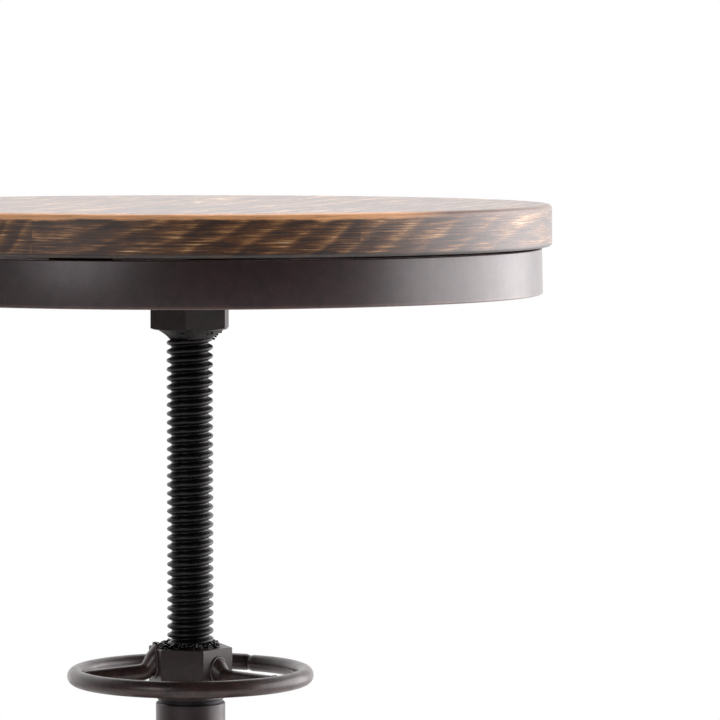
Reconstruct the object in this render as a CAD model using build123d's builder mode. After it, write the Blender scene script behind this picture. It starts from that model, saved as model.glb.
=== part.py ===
from build123d import *
import os
from math import cos, radians, sin

# Adjustable swivel stool. Millimetres, +Z up, origin on the floor under the column's axis.
# The seat and its screw turn as one piece in a threaded bush in the column, so turning the
# seat raises or lowers it. A threaded handwheel locks the screw against the column's top.
os.makedirs("parts", exist_ok=True)

# Seat board
SEAT_TOP = 759.6
BOARD_D = 350.0
BOARD_T = 20.0
BOARD_EDGE_R = 2.4
GRAIN_ANGLE = 73.0  # grain direction, from +X
STAVE_EDGES = (-20.5, 119.5)  # glue joints, measured across the grain from the axis

# Hoop of rolled flat bar, a little wider at its lower edge
HOOP_D = 340.4
HOOP_H = 22.0
HOOP_T = 3.0
HOOP_GAP = 1.0  # shadow gap between the hoop and the board
HOOP_FLARE = 0.4
HOOP_EDGE_R = 1.2

# Bars and plate that carry the board, and its wood screws
BAR_W = 30.0
BAR_T = 5.0
PLATE_D = 100.0
PLATE_T = 4.0
PLATE_CHAMFER = 0.8
HOOP_WELD_R = 4.5
HOOP_WELD_L = 24.0
BOARD_SCREW_RADII = (38.0, 130.0)
BOARD_SCREW_D = 4.4
BOARD_SCREW_DEPTH = 14.0
BOARD_SCREW_HOLE_D = 5.2
BOARD_SCREW_HEAD_D = 9.0
BOARD_SCREW_HEAD_H = 2.8
BOARD_SCREW_HEAD_EDGE = 1.4
DRIVE_L = 5.0  # cross recess in each head
DRIVE_W = 1.0
DRIVE_DEPTH = 1.6

# Nut under the plate, welded to the plate and to the screw
NUT_AF = 36.0
NUT_H = 31.6
NUT_ANGLE = 24.5  # direction of one corner
NUT_CHAMFER_R = 17.6
NUT_CHAMFER_H = 1.2
PLATE_WELD = 3.2
PLATE_WELD_TAPER = 44
SCREW_WELD_STEPS = ((15.4, 0.0), (14.2, 1.3), (12.9, 3.2))  # radius, drop below the nut
SCREW_WELD_H = 6.6

# Lead screw and its guide
SCREW_D = 22.6
SCREW_PITCH = 4.3
THREAD_DEPTH = 2.3
CREST_FLAT = 0.8
ROOT_FLAT = 0.4
SHANK_D = 20.0
SPIGOT_D = 14.0
SPIGOT_TOP = 456.0
SPIGOT_LENGTH = 16.0
THREAD_CLEARANCE = 0.4  # bores that stand in for female threads
RUNNING_GAP = 0.3
SLIDING_GAP = 0.06
PRESS_GAP = 0.02
STOP_HOLE_D = 8.2
STOP_HOLE_DEPTH = 15.0
STOP_BOLT_D = 8.0
STOP_BOLT_AF = 13.0
STOP_BOLT_HEAD = 5.3
STOP_WASHER_D = 24.0
STOP_WASHER_T = 2.0

# Handwheel
HUB_TOP = 544.9
HUB_HEX_BOTTOM = 523.4
HUB_BOTTOM = 519.6
HUB_END = 515.2
HUB_EDGE_R = 0.5
HUB_COLLAR_D = 33.2
HUB_SPIGOT_D = 26.6
GROOVE_BOTTOM = 516.4
GROOVE_TOP = 517.6
GROOVE_DEPTH = 0.8
CIRCLIP_D = 28.0
CIRCLIP_T = 1.1
CIRCLIP_OPENING = 4.0
THRUST_WASHER_D = 31.2
WHEEL_D = 119.6
WHEEL_ROD = 8.2
WHEEL_Z = 530.9
HUB_ANGLE = -42.9  # a hub face's direction, from +X
SPOKE_ROOT_R = 14.0
SPOKE_KINK_R = 22.5
SPOKE_BEND_R = 7.0
SPOKES = (  # turn from the first spoke, height at the root, height at the kink
    (0, 537.4, 531.4),
    (120, 541.0, 532.6),
    (240, 543.4, 533.2),
)
HUB_WELD_R = 5.6
RING_WELD_L = 4.6
RING_WELD_TAPER = 24

# Column
TUBE_TOP = 518.0
TUBE_D = 33.7
TUBE_WALL = 2.6
TUBE_LENGTH = 260.0
TUBE_CHAMFER = 0.5
BUSH_TOP = 514.0
BUSH_LENGTH = 24.0
END_CAP_T = 3.0
END_CAP_PLUG = 14.0

# Base
COLLAR_D = 46.0
COLLAR_H = 36.0
COLLAR_Z = 480.0
COLLAR_CHAMFER = 2.0
LEG_D = 22.0
LEG_WALL = 2.0
LEG_SHOULDER_R = 66.0
LEG_BEND = 48.0
FOOT_R = 280.0
LEG_END_Z = 14.0
LEG_ANGLE = 45.0
LEG_TURNS = (0, 90, 180, 270)
RING_Z = 250.0
RING_ROD = 16.0
STRUT_Z = 272.0
STRUT_D = 14.0
FOOT_D = 31.0
FOOT_TOP_Z = 40.0
FOOT_EDGE_R = 2.5
LEG_WELD = 4.0
LEG_WELD_L = 8.0
STRUT_WELD = 2.6
STRUT_WELD_L = 5.6
BASE_WELD_TAPER = 24
RING_WELD_R = 8.5

# Derived sizes
BOARD_BOTTOM = SEAT_TOP - BOARD_T
HOOP_TOP = BOARD_BOTTOM - HOOP_GAP
HOOP_BOTTOM = HOOP_TOP - HOOP_H
HOOP_INNER_R = HOOP_D / 2 - HOOP_T
BAR_BOTTOM = BOARD_BOTTOM - BAR_T
PLATE_BOTTOM = BAR_BOTTOM - PLATE_T
NUT_BOTTOM = PLATE_BOTTOM - NUT_H
NUT_CORNER_R = NUT_AF / 3**0.5
SCREW_R = SCREW_D / 2
SCREW_BORE_R = SCREW_R + THREAD_CLEARANCE
SPIGOT_BOTTOM = SPIGOT_TOP - SPIGOT_LENGTH
TUBE_R = TUBE_D / 2
TUBE_BORE_R = TUBE_R - TUBE_WALL
TUBE_BOTTOM = TUBE_TOP - TUBE_LENGTH
HUB_FLAT = NUT_AF / 2
WHEEL_R = (WHEEL_D - WHEEL_ROD) / 2
CLEAR = 60.0  # length of a cutting solid that has to pass right through

DOWN = (Align.CENTER, Align.CENTER, Align.MAX)
UP = (Align.CENTER, Align.CENTER, Align.MIN)


def save(piece, label):
    """Label a finished piece and write it."""
    piece.label = label
    export_step(piece, f"parts/{label}.step")


def radial_plane(angle):
    """The upright plane through the axis whose X points outward at this angle."""
    a = radians(angle)
    return Plane(origin=(0, 0, 0), x_dir=(cos(a), sin(a), 0), z_dir=(sin(a), -cos(a), 0))


def outward(angle, radius, height=0.0):
    """A point at this angle, radius and height."""
    a = radians(angle)
    return (radius * cos(a), radius * sin(a), height)


# ---------------------------------------------------------------- seat board

BAR_ANGLE = GRAIN_ANGLE - 90  # the long bar runs across the grain
SCREW_PLACES = []  # x, y, height of the metal under the board there
for arm in range(4):
    for reach in BOARD_SCREW_RADII:
        x, y, _ = outward(BAR_ANGLE + 90 * arm, reach)
        SCREW_PLACES.append((x, y, PLATE_BOTTOM if reach < PLATE_D / 2 else BAR_BOTTOM))

across = Plane(origin=(0, 0, 0), z_dir=outward(BAR_ANGLE, 1))
stave_spans = [
    ("seat_stave_left", None, STAVE_EDGES[0]),
    ("seat_stave_middle", STAVE_EDGES[0], STAVE_EDGES[1]),
    ("seat_stave_right", STAVE_EDGES[1], None),
]
for label, low, high in stave_spans:
    with BuildPart() as stave:
        with Locations((0, 0, SEAT_TOP)):
            Cylinder(BOARD_D / 2, BOARD_T, align=DOWN)
        fillet(stave.edges().filter_by(GeomType.CIRCLE), BOARD_EDGE_R)
        with Locations(*[(x, y, BOARD_BOTTOM) for x, y, _ in SCREW_PLACES]):
            Cylinder(BOARD_SCREW_D / 2 + 0.1, BOARD_SCREW_DEPTH + 1, align=UP, mode=Mode.SUBTRACT)
        if low is not None:
            split(bisect_by=across.offset(low), keep=Keep.TOP)
        if high is not None:
            split(bisect_by=across.offset(high), keep=Keep.BOTTOM)
    save(stave.part, label)

# ---------------------------------------------------------------- seat frame

with BuildPart() as hoop:
    with BuildSketch(Plane.XZ) as hoop_section:
        with BuildLine():
            Polyline(
                (HOOP_INNER_R, HOOP_TOP),
                (HOOP_D / 2, HOOP_TOP),
                (HOOP_D / 2 + HOOP_FLARE, HOOP_BOTTOM),
                (HOOP_INNER_R + HOOP_FLARE, HOOP_BOTTOM),
                close=True,
            )
        make_face()
        fillet(hoop_section.vertices().sort_by(Axis.Y)[:2], HOOP_EDGE_R)
    revolve(axis=Axis.Z)
save(hoop.part, "seat_hoop")


def bar_arm(start, end, angle):
    """A flat bar along one direction, its outer end curved to the hoop, drilled for board screws."""
    with BuildPart() as bar:
        with BuildSketch(Plane.XY.offset(BAR_BOTTOM).rotated((0, 0, angle))):
            with Locations(((start + end) / 2, 0)):
                Rectangle(end - start, BAR_W)
            Circle(HOOP_INNER_R, mode=Mode.INTERSECT)
        extrude(amount=BAR_T)
        with Locations(*[(x, y, BAR_BOTTOM) for x, y, _ in SCREW_PLACES]):
            Cylinder(BOARD_SCREW_HOLE_D / 2, BAR_T, align=UP, mode=Mode.SUBTRACT)
    return bar.part


save(bar_arm(-HOOP_D / 2, HOOP_D / 2, BAR_ANGLE), "seat_bar_long")
save(bar_arm(BAR_W / 2, HOOP_D / 2, BAR_ANGLE + 90), "seat_bar_short_back")
save(bar_arm(BAR_W / 2, HOOP_D / 2, BAR_ANGLE + 270), "seat_bar_short_front")

with BuildPart() as hoop_welds:
    for arm in range(4):
        with BuildSketch(radial_plane(BAR_ANGLE + 90 * arm)):
            with Locations((HOOP_INNER_R - 0.1, BAR_BOTTOM)):
                Circle(HOOP_WELD_R)
        extrude(amount=HOOP_WELD_L / 2, both=True)
    with BuildSketch(Plane.XY.offset(BAR_BOTTOM)):
        Circle(HOOP_D)
    extrude(amount=CLEAR, mode=Mode.SUBTRACT)
    with BuildSketch(Plane.XY.offset(BAR_BOTTOM - CLEAR)):
        Circle(HOOP_D)
        Circle(HOOP_INNER_R, mode=Mode.SUBTRACT)
    extrude(amount=CLEAR, mode=Mode.SUBTRACT)
save(hoop_welds.part, "hoop_welds")

with BuildPart() as plate:
    with BuildSketch(Plane.XY.offset(PLATE_BOTTOM)):
        Circle(PLATE_D / 2)
        with Locations(*[(x, y) for x, y, height in SCREW_PLACES if height == PLATE_BOTTOM]):
            Circle(BOARD_SCREW_HOLE_D / 2, mode=Mode.SUBTRACT)
    extrude(amount=PLATE_T)
    chamfer(plate.faces().sort_by(Axis.Z)[0].outer_wire().edges(), PLATE_CHAMFER)
save(plate.part, "seat_plate")

with BuildPart() as board_screw:
    Cylinder(BOARD_SCREW_HEAD_D / 2, BOARD_SCREW_HEAD_H, align=DOWN)
    fillet(board_screw.edges().group_by(Axis.Z)[0], BOARD_SCREW_HEAD_EDGE)
    with Locations((0, 0, -BOARD_SCREW_HEAD_H)):
        Box(DRIVE_L, DRIVE_W, DRIVE_DEPTH, align=UP, mode=Mode.SUBTRACT)
        Box(DRIVE_W, DRIVE_L, DRIVE_DEPTH, align=UP, mode=Mode.SUBTRACT)

with BuildPart() as board_screws:
    for x, y, height in SCREW_PLACES:
        with Locations((x, y, height)):
            add(board_screw.part)
            Cylinder(BOARD_SCREW_D / 2, BOARD_BOTTOM + BOARD_SCREW_DEPTH - height, align=UP)
save(board_screws.part, "board_screws")

with BuildPart() as nut:
    with BuildSketch(Plane.XY.offset(NUT_BOTTOM)):
        RegularPolygon(NUT_AF / 2, 6, major_radius=False, rotation=NUT_ANGLE)
    extrude(amount=NUT_H)
    with BuildSketch(Plane.XZ):
        with BuildLine():
            Polyline(
                (0, NUT_BOTTOM),
                (NUT_CHAMFER_R, NUT_BOTTOM),
                (NUT_CORNER_R + 0.5, NUT_BOTTOM + NUT_CHAMFER_H),
                (NUT_CORNER_R + 0.5, PLATE_BOTTOM),
                (0, PLATE_BOTTOM),
                close=True,
            )
        make_face()
    revolve(axis=Axis.Z, mode=Mode.INTERSECT)
    with Locations((0, 0, NUT_BOTTOM)):
        Cylinder(SHANK_D / 2, NUT_H, align=UP, mode=Mode.SUBTRACT)
save(nut.part, "seat_nut")

with BuildPart() as nut_plate_weld:
    with BuildSketch(Plane.XY.offset(PLATE_BOTTOM)):
        RegularPolygon(NUT_AF / 2 + PLATE_WELD, 6, major_radius=False, rotation=NUT_ANGLE)
    extrude(amount=-PLATE_WELD, taper=PLATE_WELD_TAPER)
    with BuildSketch(Plane.XY.offset(PLATE_BOTTOM)):
        RegularPolygon(NUT_AF / 2, 6, major_radius=False, rotation=NUT_ANGLE)
    extrude(amount=-PLATE_WELD, mode=Mode.SUBTRACT)
save(nut_plate_weld.part, "nut_plate_weld")

WELD_BORE_R = SCREW_R + 0.05
with BuildPart() as nut_screw_weld:
    with BuildSketch(Plane.XZ):
        with BuildLine():
            Polyline(
                (WELD_BORE_R, NUT_BOTTOM),
                *[(radius, NUT_BOTTOM - drop) for radius, drop in SCREW_WELD_STEPS],
                (WELD_BORE_R, NUT_BOTTOM - SCREW_WELD_H),
                close=True,
            )
        make_face()
    revolve(axis=Axis.Z)
save(nut_screw_weld.part, "nut_screw_weld")

# ---------------------------------------------------------------- lead screw

# The thread's true profile is turned as level grooves, one for each pitch. They stand in for
# the helix and have its crest, root and depth.
ROOT_R = SCREW_R - THREAD_DEPTH
SHANK_R = SHANK_D / 2 - PRESS_GAP
THREAD_TOP = NUT_BOTTOM - 0.2
GROOVES = int((THREAD_TOP - SPIGOT_TOP) / SCREW_PITCH)

screw_outline = [(SPIGOT_D / 2, SPIGOT_TOP)]
for groove in range(GROOVES):
    root_start = SPIGOT_TOP + groove * SCREW_PITCH
    crest_middle = root_start + (ROOT_FLAT + SCREW_PITCH) / 2
    screw_outline += [
        (ROOT_R, root_start),
        (ROOT_R, root_start + ROOT_FLAT),
        (SCREW_R, crest_middle - CREST_FLAT / 2),
        (SCREW_R, crest_middle + CREST_FLAT / 2),
    ]
screw_outline += [
    (ROOT_R, SPIGOT_TOP + GROOVES * SCREW_PITCH),
    (ROOT_R, THREAD_TOP),
    (SHANK_R, THREAD_TOP),
    (SHANK_R, PLATE_BOTTOM),
    (0, PLATE_BOTTOM),
    (0, SPIGOT_BOTTOM + STOP_HOLE_DEPTH),
    (STOP_HOLE_D / 2, SPIGOT_BOTTOM + STOP_HOLE_DEPTH),
    (STOP_HOLE_D / 2, SPIGOT_BOTTOM),
    (SPIGOT_D / 2, SPIGOT_BOTTOM),
]
with BuildPart() as screw:
    with BuildSketch(Plane.XZ):
        with BuildLine():
            Polyline(*screw_outline, close=True)
        make_face()
    revolve(axis=Axis.Z)
save(screw.part, "lead_screw")

with BuildPart() as guide_bush:
    with BuildSketch(Plane.XY.offset(SPIGOT_TOP - RUNNING_GAP)):
        Circle(TUBE_BORE_R - RUNNING_GAP)
        Circle(SPIGOT_D / 2 + SLIDING_GAP, mode=Mode.SUBTRACT)
    extrude(amount=-(SPIGOT_LENGTH - 2 * RUNNING_GAP))
    chamfer(guide_bush.edges().filter_by(GeomType.CIRCLE).group_by(SortBy.RADIUS)[-1], 1.0)
save(guide_bush.part, "guide_bush")

with BuildPart() as stop_washer:
    with BuildSketch(Plane.XY.offset(SPIGOT_BOTTOM)):
        Circle(STOP_WASHER_D / 2)
        Circle(STOP_BOLT_D / 2 + 0.2, mode=Mode.SUBTRACT)
    extrude(amount=-STOP_WASHER_T)
save(stop_washer.part, "stop_washer")

with BuildPart() as stop_bolt:
    with BuildSketch(Plane.XY.offset(SPIGOT_BOTTOM - STOP_WASHER_T)):
        RegularPolygon(STOP_BOLT_AF / 2, 6, major_radius=False)
    extrude(amount=-STOP_BOLT_HEAD)
    with Locations((0, 0, SPIGOT_BOTTOM - STOP_WASHER_T)):
        Cylinder(STOP_BOLT_D / 2, STOP_HOLE_DEPTH, align=UP)
save(stop_bolt.part, "stop_bolt")

# ---------------------------------------------------------------- handwheel

with BuildPart() as hub:
    with BuildSketch(Plane.XY.offset(HUB_HEX_BOTTOM)):
        RegularPolygon(HUB_FLAT, 6, major_radius=False, rotation=HUB_ANGLE + 30)
    extrude(amount=HUB_TOP - HUB_HEX_BOTTOM)
    fillet(hub.edges(), HUB_EDGE_R)
    with BuildSketch(Plane.XZ):
        with BuildLine():
            Polyline(
                (0, HUB_HEX_BOTTOM + 1),
                (HUB_COLLAR_D / 2, HUB_HEX_BOTTOM + 1),
                (HUB_COLLAR_D / 2, HUB_BOTTOM + HUB_EDGE_R),
                (HUB_COLLAR_D / 2 - HUB_EDGE_R, HUB_BOTTOM),
                (HUB_SPIGOT_D / 2, HUB_BOTTOM),
                (HUB_SPIGOT_D / 2, GROOVE_TOP),
                (HUB_SPIGOT_D / 2 - GROOVE_DEPTH, GROOVE_TOP),
                (HUB_SPIGOT_D / 2 - GROOVE_DEPTH, GROOVE_BOTTOM),
                (HUB_SPIGOT_D / 2, GROOVE_BOTTOM),
                (HUB_SPIGOT_D / 2, HUB_END),
                (0, HUB_END),
                close=True,
            )
        make_face()
    revolve(axis=Axis.Z)
    with Locations((0, 0, HUB_END)):
        Cylinder(SCREW_BORE_R, CLEAR, align=UP, mode=Mode.SUBTRACT)
save(hub.part, "wheel_hub")

with BuildPart() as circlip:
    with BuildSketch(Plane.XY.offset((GROOVE_BOTTOM + GROOVE_TOP - CIRCLIP_T) / 2)):
        Circle(CIRCLIP_D / 2)
        Circle(HUB_SPIGOT_D / 2 - GROOVE_DEPTH + 0.05, mode=Mode.SUBTRACT)
        with Locations((-CIRCLIP_D / 2, 0)):
            Rectangle(CIRCLIP_D / 4, CIRCLIP_OPENING, mode=Mode.SUBTRACT)
    extrude(amount=CIRCLIP_T)
save(circlip.part, "hub_circlip")

with BuildPart() as thrust_washer:
    with BuildSketch(Plane.XY.offset(TUBE_TOP)):
        Circle(THRUST_WASHER_D / 2)
        Circle(HUB_SPIGOT_D / 2 + SLIDING_GAP, mode=Mode.SUBTRACT)
    extrude(amount=HUB_BOTTOM - TUBE_TOP)
save(thrust_washer.part, "thrust_washer")

with BuildPart() as wheel_ring:
    with Locations((0, 0, WHEEL_Z)):
        Torus(WHEEL_R, WHEEL_ROD / 2)
save(wheel_ring.part, "wheel_ring")

# Each spoke and its welds are made in the first spoke's direction and then turned into place.
hub_weld_parts = []
ring_weld_parts = []
for number, (turn, root_z, kink_z) in enumerate(SPOKES, start=1):
    with BuildPart() as spoke:
        with BuildLine(radial_plane(HUB_ANGLE)) as spoke_path:
            FilletPolyline(
                (SPOKE_ROOT_R, root_z),
                (SPOKE_KINK_R, kink_z),
                (WHEEL_R, WHEEL_Z),
                radius=SPOKE_BEND_R,
            )
        with BuildSketch(Plane(origin=spoke_path.line @ 0, z_dir=spoke_path.line % 0)):
            Circle(WHEEL_ROD / 2)
        sweep(path=spoke_path.line)
        add(wheel_ring.part, mode=Mode.SUBTRACT)
        with BuildSketch(Plane.XY.offset(HUB_HEX_BOTTOM)):
            RegularPolygon(HUB_FLAT, 6, major_radius=False, rotation=HUB_ANGLE + 30)
        extrude(amount=CLEAR, mode=Mode.SUBTRACT)
    save(spoke.part.rotate(Axis.Z, turn), f"wheel_spoke_{number}")

    slope = (root_z - kink_z) / (SPOKE_KINK_R - SPOKE_ROOT_R)
    foot_z = kink_z + slope * (SPOKE_KINK_R - HUB_FLAT)
    with BuildPart() as hub_weld:
        with Locations(outward(HUB_ANGLE, HUB_FLAT, foot_z)):
            Sphere(HUB_WELD_R)
        with BuildSketch(Plane.XY.offset(HUB_HEX_BOTTOM)):
            RegularPolygon(HUB_FLAT, 6, major_radius=False, rotation=HUB_ANGLE + 30)
        extrude(amount=CLEAR, mode=Mode.SUBTRACT)
        add(spoke.part, mode=Mode.SUBTRACT)
    hub_weld_parts.append(hub_weld.part.rotate(Axis.Z, turn))

    with BuildPart() as ring_weld:
        weld_start = outward(HUB_ANGLE, WHEEL_R - WHEEL_ROD / 2 - RING_WELD_L + 1.2, WHEEL_Z)
        with BuildSketch(Plane(origin=weld_start, z_dir=outward(HUB_ANGLE, 1))):
            Circle(WHEEL_ROD / 2 + 0.4)
        extrude(amount=RING_WELD_L, taper=-RING_WELD_TAPER)
        add(wheel_ring.part, mode=Mode.SUBTRACT)
        add(spoke.part, mode=Mode.SUBTRACT)
    ring_weld_parts.append(ring_weld.part.rotate(Axis.Z, turn))

with BuildPart() as hub_welds:
    add(hub_weld_parts)
save(hub_welds.part, "spoke_hub_welds")

with BuildPart() as ring_welds:
    add(ring_weld_parts)
save(ring_welds.part, "spoke_ring_welds")

# ---------------------------------------------------------------- column

with BuildPart() as tube:
    with BuildSketch(Plane.XY.offset(TUBE_TOP)):
        Circle(TUBE_R)
        Circle(TUBE_BORE_R, mode=Mode.SUBTRACT)
    extrude(amount=-TUBE_LENGTH)
    top_edges = tube.edges().filter_by(GeomType.CIRCLE).group_by(Axis.Z)[-1]
    chamfer(top_edges.sort_by(SortBy.RADIUS)[-1], TUBE_CHAMFER)
save(tube.part, "column_tube")

with BuildPart() as column_bush:
    with BuildSketch(Plane.XY.offset(BUSH_TOP)):
        Circle(TUBE_BORE_R - PRESS_GAP)
        Circle(SCREW_BORE_R, mode=Mode.SUBTRACT)
    extrude(amount=-BUSH_LENGTH)
save(column_bush.part, "column_bush")

with BuildPart() as end_cap:
    with Locations((0, 0, TUBE_BOTTOM)):
        Cylinder(TUBE_R + 0.4, END_CAP_T, align=DOWN)
        Cylinder(TUBE_BORE_R - 0.1, END_CAP_PLUG, align=UP)
    fillet(end_cap.edges().group_by(Axis.Z)[0], 1.2)
save(end_cap.part, "column_end_cap")

with BuildPart() as collar:
    with BuildSketch(Plane.XY.offset(COLLAR_Z - COLLAR_H / 2)):
        Circle(COLLAR_D / 2)
        Circle(TUBE_R + 0.03, mode=Mode.SUBTRACT)
    extrude(amount=COLLAR_H)
    chamfer(collar.edges().filter_by(GeomType.CIRCLE).group_by(SortBy.RADIUS)[-1], COLLAR_CHAMFER)
save(collar.part, "leg_collar")

# ---------------------------------------------------------------- legs and feet

SLOPE = (FOOT_R - LEG_SHOULDER_R) / COLLAR_Z  # outward run for each millimetre down
LEG_RUN = Vector(SLOPE, 0, -1).normalized()


def leg_plane(height):
    """The plane across the first leg's straight run, at this height on its centre line."""
    origin = outward(LEG_ANGLE, FOOT_R - SLOPE * height, height)
    return Plane(origin=origin, z_dir=outward(LEG_ANGLE, LEG_RUN.X, LEG_RUN.Z))


with BuildPart() as leg:
    with BuildLine(radial_plane(LEG_ANGLE)) as leg_path:
        FilletPolyline(
            (COLLAR_D / 2 - 8, COLLAR_Z),
            (LEG_SHOULDER_R, COLLAR_Z),
            (FOOT_R - SLOPE * LEG_END_Z, LEG_END_Z),
            radius=LEG_BEND,
        )
    with BuildSketch(Plane(origin=leg_path.line @ 0, z_dir=leg_path.line % 0)):
        Circle(LEG_D / 2)
        Circle(LEG_D / 2 - LEG_WALL, mode=Mode.SUBTRACT)
    sweep(path=leg_path.line)
    with Locations((0, 0, COLLAR_Z)):
        Cylinder(COLLAR_D / 2, CLEAR, mode=Mode.SUBTRACT)

with BuildPart() as foot:
    with BuildSketch(leg_plane(FOOT_TOP_Z)):
        Circle(FOOT_D / 2)
    extrude(amount=CLEAR)
    fillet(foot.edges().group_by(Axis.Z)[-1], FOOT_EDGE_R)
    split(bisect_by=Plane.XY, keep=Keep.TOP)
    with BuildSketch(leg_plane(CLEAR)):
        Circle(LEG_D / 2)
    extrude(amount=(CLEAR - LEG_END_Z) / -LEG_RUN.Z, mode=Mode.SUBTRACT)

with BuildPart() as leg_weld:
    weld_start = outward(LEG_ANGLE, COLLAR_D / 2 - LEG_WELD, COLLAR_Z)
    with BuildSketch(Plane(origin=weld_start, z_dir=outward(LEG_ANGLE, 1))):
        Circle(LEG_D / 2 + LEG_WELD)
        Circle(LEG_D / 2, mode=Mode.SUBTRACT)
    extrude(amount=LEG_WELD_L)
    with BuildSketch(Plane(origin=weld_start, z_dir=outward(LEG_ANGLE, 1))):
        Circle(LEG_D / 2 + LEG_WELD)
    extrude(amount=LEG_WELD_L, taper=BASE_WELD_TAPER, mode=Mode.INTERSECT)
    with Locations((0, 0, COLLAR_Z)):
        Cylinder(COLLAR_D / 2, CLEAR, mode=Mode.SUBTRACT)

# ---------------------------------------------------------------- struts and footrest

with BuildPart() as strut:
    strut_start = outward(LEG_ANGLE, TUBE_R / 2, STRUT_Z)
    with BuildSketch(Plane(origin=strut_start, z_dir=outward(LEG_ANGLE, 1))):
        Circle(STRUT_D / 2)
    extrude(amount=FOOT_R - SLOPE * STRUT_Z - TUBE_R / 2)
    with Locations((0, 0, STRUT_Z)):
        Cylinder(TUBE_R, CLEAR, mode=Mode.SUBTRACT)
    with BuildSketch(leg_plane(STRUT_Z + CLEAR)):
        Circle(LEG_D / 2)
    extrude(amount=2 * CLEAR, mode=Mode.SUBTRACT)

with BuildPart() as strut_weld:
    weld_start = outward(LEG_ANGLE, TUBE_R - STRUT_WELD, STRUT_Z)
    with BuildSketch(Plane(origin=weld_start, z_dir=outward(LEG_ANGLE, 1))):
        Circle(STRUT_D / 2 + STRUT_WELD)
    extrude(amount=STRUT_WELD_L, taper=BASE_WELD_TAPER)
    with Locations((0, 0, STRUT_Z)):
        Cylinder(TUBE_R, CLEAR, mode=Mode.SUBTRACT)
    add(strut.part, mode=Mode.SUBTRACT)

FOOTREST_R = FOOT_R - SLOPE * RING_Z + LEG_D / 2 / -LEG_RUN.Z + RING_ROD / 2
with BuildPart() as footrest:
    with Locations((0, 0, RING_Z)):
        Torus(FOOTREST_R, RING_ROD / 2)
    for turn in LEG_TURNS:
        add(leg.part.rotate(Axis.Z, turn), mode=Mode.SUBTRACT)
save(footrest.part, "footrest_ring")

with BuildPart() as footrest_weld:
    with Locations(outward(LEG_ANGLE, FOOTREST_R - RING_ROD / 2, RING_Z)):
        Sphere(RING_WELD_R)
    add(footrest.part, mode=Mode.SUBTRACT)
    with BuildSketch(leg_plane(RING_Z + CLEAR)):
        Circle(LEG_D / 2)
    extrude(amount=2 * CLEAR, mode=Mode.SUBTRACT)

for number, turn in enumerate(LEG_TURNS, start=1):
    save(leg.part.rotate(Axis.Z, turn), f"leg_{number}")
    save(foot.part.rotate(Axis.Z, turn), f"foot_cap_{number}")
    save(strut.part.solids().sort_by(SortBy.VOLUME)[-1].rotate(Axis.Z, turn), f"strut_{number}")

for weld, label in (
    (leg_weld.part, "leg_welds"),
    (strut_weld.part, "strut_welds"),
    (footrest_weld.part, "footrest_welds"),
):
    with BuildPart() as four_welds:
        for turn in LEG_TURNS:
            add(weld.rotate(Axis.Z, turn))
    save(four_welds.part, label)
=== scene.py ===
import random
from math import atan2, ceil, cos, hypot, pi, radians, sin, tau

import bmesh
import bpy
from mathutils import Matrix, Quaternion, Vector, noise


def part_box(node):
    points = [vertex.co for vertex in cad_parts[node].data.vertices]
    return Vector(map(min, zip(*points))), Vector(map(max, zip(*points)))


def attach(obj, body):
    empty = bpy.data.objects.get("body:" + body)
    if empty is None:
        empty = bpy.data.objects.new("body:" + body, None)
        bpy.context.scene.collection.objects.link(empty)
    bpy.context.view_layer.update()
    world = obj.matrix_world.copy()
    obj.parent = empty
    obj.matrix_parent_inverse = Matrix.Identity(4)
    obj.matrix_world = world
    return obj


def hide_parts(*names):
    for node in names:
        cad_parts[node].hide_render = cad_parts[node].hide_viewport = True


bl_info = {
    "name": "Adjustable swivel stool",
    "version": (1, 0, 0),
    "blender": (4, 5, 0),
    "location": "View3D > Sidebar > Stool",
    "description": "Dresses the stool's CAD frame with its wood, coatings, threads, welds and swarf",
    "category": "Object",
}

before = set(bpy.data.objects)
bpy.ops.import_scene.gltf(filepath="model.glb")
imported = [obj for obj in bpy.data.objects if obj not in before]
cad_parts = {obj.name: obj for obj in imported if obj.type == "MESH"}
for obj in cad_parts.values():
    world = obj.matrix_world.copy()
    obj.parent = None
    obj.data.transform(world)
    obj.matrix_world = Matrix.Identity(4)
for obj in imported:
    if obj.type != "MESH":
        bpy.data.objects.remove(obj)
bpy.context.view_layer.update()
MM = 0.001

# Heights and radii that many pieces share, read from the frame
BOARD_NODES = ("seat_stave_left", "seat_stave_middle", "seat_stave_right")
BOARD_BOXES = [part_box(node) for node in BOARD_NODES]
BOARD_BOTTOM = BOARD_BOXES[0][0].z
BOARD_TOP = BOARD_BOXES[0][1].z
BOARD_R = max(high.x for _, high in BOARD_BOXES)
HOOP_LOW, HOOP_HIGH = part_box("seat_hoop")
NUT_LOW, NUT_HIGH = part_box("seat_nut")
SCREW_LOW, SCREW_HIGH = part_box("lead_screw")
SCREW_R = SCREW_HIGH.x
HUB_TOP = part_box("wheel_hub")[1].z
COLUMN_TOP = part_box("column_tube")[1].z
RING_LOW, RING_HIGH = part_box("wheel_ring")
WHEEL_ROD_R = (RING_HIGH.z - RING_LOW.z) / 2
WHEEL_R = RING_HIGH.x - WHEEL_ROD_R
WHEEL_Z = (RING_HIGH.z + RING_LOW.z) / 2
SPOKE_NODES = ("wheel_spoke_1", "wheel_spoke_2", "wheel_spoke_3")
THREAD_CLEARANCE = 0.3 * MM  # gap that loose pieces keep to the screw's crests
GRAIN = radians(73)  # direction of the staves and their fibres, from +X


# ------------------------------------------------------------------ small helpers


def linear(code):
    """A colour for a shader from its sRGB hex code."""
    channels = [int(code[i:i + 2], 16) / 255 for i in (1, 3, 5)]
    return [c / 12.92 if c <= 0.04045 else ((c + 0.055) / 1.055) ** 2.4 for c in channels] + [1.0]


def per_mm(size):
    """The texture scale that repeats once every so many millimetres."""
    return 1 / (size * MM)


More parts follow.
